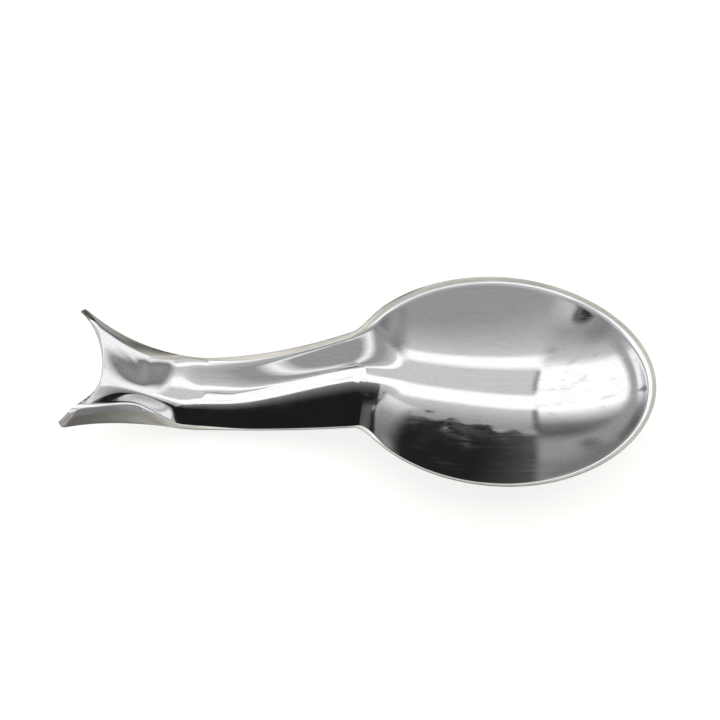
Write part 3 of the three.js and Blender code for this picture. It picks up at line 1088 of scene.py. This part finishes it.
    def bowl_end(self, tree: Tree, back: Socket, side: Socket, light: Socket) -> Socket:
        """Lays the white end, and the tilted soft box past it, over the rest of the tent.

        Args:
            tree: The world's nodes.
            back: The back angle.
            side: The side angle.
            light: The rest of the tent's light.

        Returns:
            The whole tent's light.
        """
        end = self.profile(tree, back, self.toned(self.front + self.white_end))
        low = add_node(tree, "ShaderNodeMapRange", {
            "Value": back, **limits(self.end_low_back, self.end_widening),
        }).outputs["Result"]
        wide = add_node(tree, "ShaderNodeMath", {0: side, 1: low}, operation="ADD").outputs[0]
        share = add_node(tree, "ShaderNodeMapRange", {
            "Value": wide, **limits(self.end_side),
        }, interpolation_type="SMOOTHSTEP").outputs["Result"]
        light = add_node(tree, "ShaderNodeMix", {0: share, 6: light, 7: end}, data_type="RGBA").outputs[2]
        tilt = add_node(tree, "ShaderNodeMapRange", {
            "Value": side, **limits(self.far_end_tilt_side, self.far_end_tilt),
        }, interpolation_type="SMOOTHSTEP").outputs["Result"]
        skewed = add_node(tree, "ShaderNodeMath", {0: back, 1: tilt}, operation="ADD").outputs[0]
        right = self.profile(tree, skewed, self.toned(self.front + self.right_box))
        far_end = add_node(tree, "ShaderNodeMapRange", {
            "Value": side, **limits(self.far_end_side),
        }, interpolation_type="SMOOTHSTEP").outputs["Result"]
        return add_node(tree, "ShaderNodeMix", {0: far_end, 6: light, 7: right}, data_type="RGBA").outputs[2]


@dataclass(frozen=True)
class Card:
    """A dark card's place: the x of its two ends, its y and its height from the floor, in mm."""

    left: float
    right: float
    depth: float
    height: float


@dataclass
class Studio:
    """The pale floor, the dark cards and the camera; the floor and the cards show painted reflections in the
    steel. Angles are in degrees, sizes in mm.
    """

    floor_size: float = 6000.0
    floor_colour: str = "#f4f4f2"
    floor_glow: float = 0.82
    floor_soak: str = "#bdbdbb"
    floor_rough: float = 0.9
    cards: tuple[Card, ...] = (Card(-162.0, -31.0, 150.0, 108.0), Card(-15.0, 24.0, 60.0, 52.0))
    # Painted reflection: the cards' glowing tones up their height, dark at the foot and lighter towards the
    # top.
    card_reflection_tones: Stops = ((0.6, Tone.DARK), (0.85, Tone.DIM), (1.0, Tone.GREY))
    # Tones of the floor's painted reflection: a painted shadow in front and a paler floor behind, across a
    # span in y.
    painted_front_shadow: Tone = Tone.DIM
    painted_back_light: Tone = Tone.PALE
    painted_shadow_span: Span = (-120.0, 60.0)
    elevation: float = 57.0
    look_at: tuple[float, float, float] = (-1.9, 6.63, 21.0)
    distance: float = 378.5
    lens: float = 46.5
    nearest: float = 1.0

    def floor(self) -> None:
        """Lays the pale floor, which keeps the shadow and can be looked through from below. The steel's
        reflections see a painted reflection of it instead: a glowing grey, darker in front as painted shadow
        and paler behind.
        """
        bpy.ops.object.select_all(action="DESELECT")
        bpy.ops.mesh.primitive_plane_add(size=self.floor_size * MM)
        floor = bpy.context.active_object
        floor.name = "floor"
        material, shader = new_material("pale_floor")
        tree = material.node_tree
        shader.inputs["Base Color"].default_value = linear(self.floor_soak)
        shader.inputs["Roughness"].default_value = self.floor_rough
        shader.inputs["Specular IOR Level"].default_value = 0.0
        shader.inputs["Emission Color"].default_value = linear(self.floor_colour)
        ray = add_node(tree, "ShaderNodeLightPath").outputs
        glow = add_node(tree, "ShaderNodeMath", {
            0: ray["Is Camera Ray"], 1: self.floor_glow,
        }, operation="MULTIPLY").outputs[0]
        tree.links.new(glow, shader.inputs["Emission Strength"])
        # Painted reflection: to glossy rays the floor glows a set grey in place of its lit colour, darker in
        # front as painted shadow and paler behind.
        place = add_node(tree, "ShaderNodeTexCoord").outputs["Object"]
        depth = add_node(tree, "ShaderNodeSeparateXYZ", {0: place}).outputs["Y"]
        front, back = self.painted_shadow_span
        behind = add_node(tree, "ShaderNodeMapRange", {
            "Value": depth, **limits((front * MM, back * MM)),
        }, interpolation_type="SMOOTHSTEP").outputs["Result"]
        tone = add_node(tree, "ShaderNodeMix", {
            0: behind, 6: grey(self.painted_front_shadow), 7: grey(self.painted_back_light),
        }, data_type="RGBA").outputs[2]
        painted_floor_reflection = add_node(tree, "ShaderNodeEmission", {"Color": tone, "Strength": 1.0}).outputs[0]
        seen = add_node(tree, "ShaderNodeMixShader", {
            0: ray["Is Glossy Ray"], 1: shader.outputs[0], 2: painted_floor_reflection,
        }).outputs[0]
        under = add_node(tree, "ShaderNodeNewGeometry").outputs["Backfacing"]
        clear = add_node(tree, "ShaderNodeBsdfTransparent").outputs[0]
        through = add_node(tree, "ShaderNodeMixShader", {0: under, 1: seen, 2: clear}).outputs[0]
        tree.links.new(through, tree.nodes["Material Output"].inputs["Surface"])
        floor.data.materials.append(material)

    def dark_card(self, place: Card) -> None:
        """Stands a dark card behind the part as a painted reflection, which only the polished steel sees: it
        glows its own tones, darker at its foot and lighter at its top, and casts no shadow.

        Args:
            place: Where the card stands.
        """
        bpy.ops.object.select_all(action="DESELECT")
        bpy.ops.mesh.primitive_plane_add(
            size=1.0,
            location=((place.left + place.right) / 2 * MM, place.depth * MM, place.height / 2 * MM),
            rotation=(math.radians(90.0), 0.0, 0.0),
        )
        card = bpy.context.active_object
        card.name = "dark_card"
        card.scale = ((place.right - place.left) * MM, place.height * MM, 1.0)
        bpy.ops.object.transform_apply(location=True, rotation=True, scale=True)
        material = new_material("dark_card")[0]
        tree = material.node_tree
        # Painted reflection: the card glows its own tones, darker at its foot and lighter at its top, instead
        # of being lit.
        spot = add_node(tree, "ShaderNodeTexCoord").outputs["Object"]
        up = add_node(tree, "ShaderNodeSeparateXYZ", {0: spot}).outputs["Z"]
        share = add_node(tree, "ShaderNodeMapRange", {
            "Value": up, **limits((0.0, place.height * MM)),
        }).outputs["Result"]
        tone = add_node(tree, "ShaderNodeValToRGB", {"Fac": share})
        set_ramp(tone, [(up_share, grey(level)) for up_share, level in self.card_reflection_tones])
        painted_card_reflection = add_node(tree, "ShaderNodeEmission", {"Color": tone.outputs["Color"]}).outputs[0]
        tree.links.new(painted_card_reflection, tree.nodes["Material Output"].inputs["Surface"])
        card.data.materials.append(material)
        card.visible_camera = card.visible_diffuse = card.visible_shadow = card.visible_transmission = False

    def camera(self) -> None:
        """Sets the camera at the photograph's angle."""
        tilt = math.radians(self.elevation)
        back = Vector((0.0, -math.cos(tilt), math.sin(tilt)))
        data = bpy.data.cameras.new("camera")
        data.lens = self.lens
        data.clip_start = self.nearest * MM
        camera = bpy.data.objects.new("camera", data)
        bpy.context.scene.collection.objects.link(camera)
        camera.location = (Vector(self.look_at) + back * self.distance) * MM
        camera.rotation_mode = "QUATERNION"
        camera.rotation_quaternion = (-back).to_track_quat("-Z", "Y")
        bpy.context.scene.camera = camera


def main() -> None:
    """Builds the sheet and the studio."""
    logging.basicConfig(level=logging.INFO, format="%(name)s: %(message)s")
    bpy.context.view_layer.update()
    bpy.context.scene.view_settings.view_transform = "Standard"
    Tent().build()
    studio = Studio()
    studio.camera()
    studio.floor()
    for card in studio.cards:
        studio.dark_card(card)
    rest = PressedSheet()
    sheet = rest.build()
    rest.dress(sheet)
    LOG.info("%s: %d faces", sheet.name, len(sheet.data.polygons))


if __name__ == "__main__":
    main()
